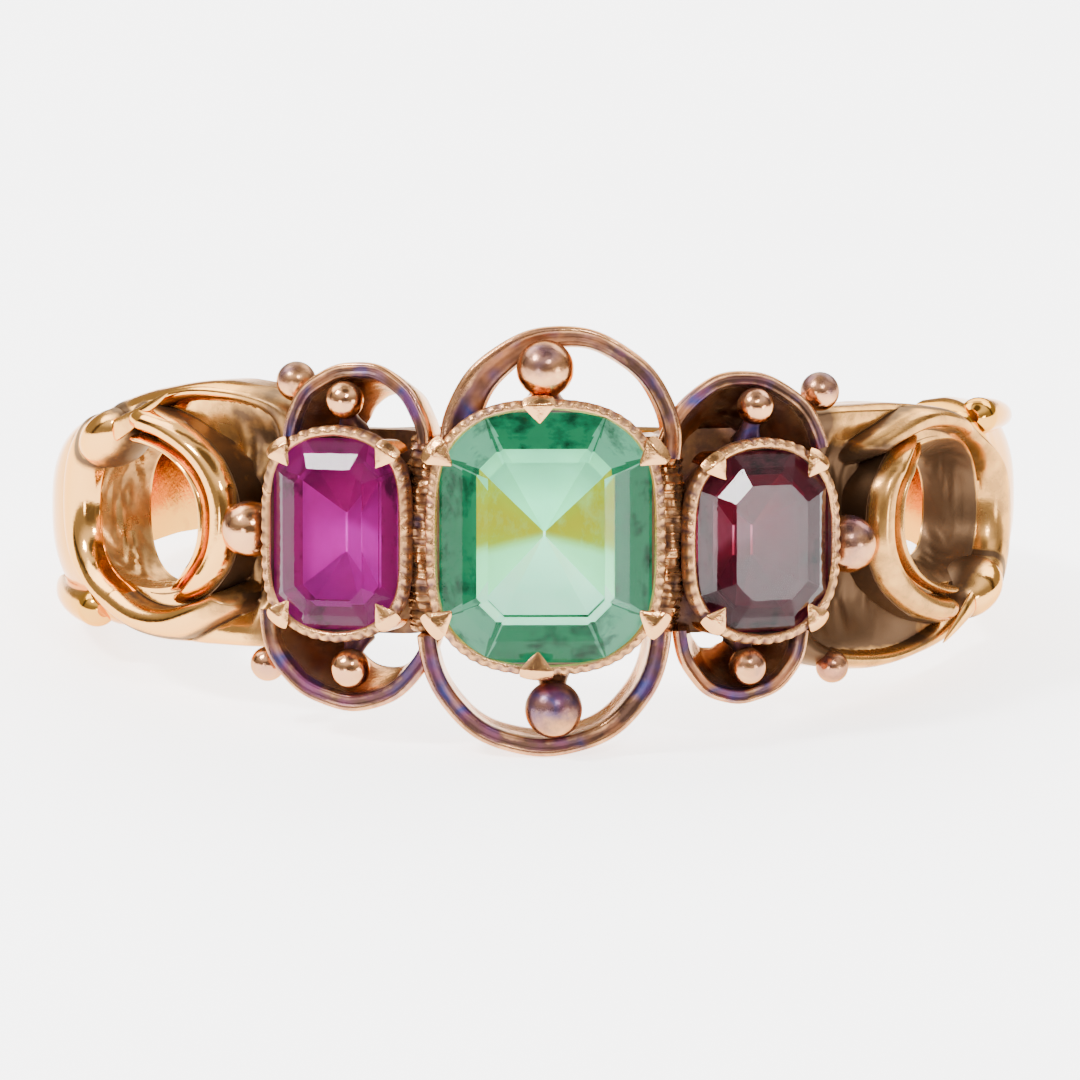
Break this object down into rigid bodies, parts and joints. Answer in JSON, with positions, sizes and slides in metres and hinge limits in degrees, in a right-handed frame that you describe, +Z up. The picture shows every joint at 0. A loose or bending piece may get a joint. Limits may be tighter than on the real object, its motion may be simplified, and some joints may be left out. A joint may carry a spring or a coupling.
{
  "type": "three-stone ring",
  "caption": "Finger ring with a large step-cut stone between two smaller ones in claw collets, with looped gallery and pierced scroll shoulders.",
  "frame": {"origin": "under the middle of the ring as it lies on its side, at the level it rests on", "axes": "+Z up; the head with the stones faces -Y and the plain band is at +Y; +X to the right as seen from the head. The finger hole runs nearly along Z, leaning with the ring as it rests on a gallery loop and on the band's edge."},
  "size_m": [0.02, 0.0212, 0.0084],
  "materials": {
    "gold": "polished rose gold with dark tarnish in the recesses",
    "green_stone": "polished facets, pale green",
    "pink_stone": "polished facets, purplish pink",
    "red_stone": "polished facets, dark brownish red"
  },
  "bodies": {
    "root": {"gold_mount": "gold", "centre_stone": "green_stone", "left_stone": "pink_stone", "right_stone": "red_stone"}
  },
  "joints": []
}
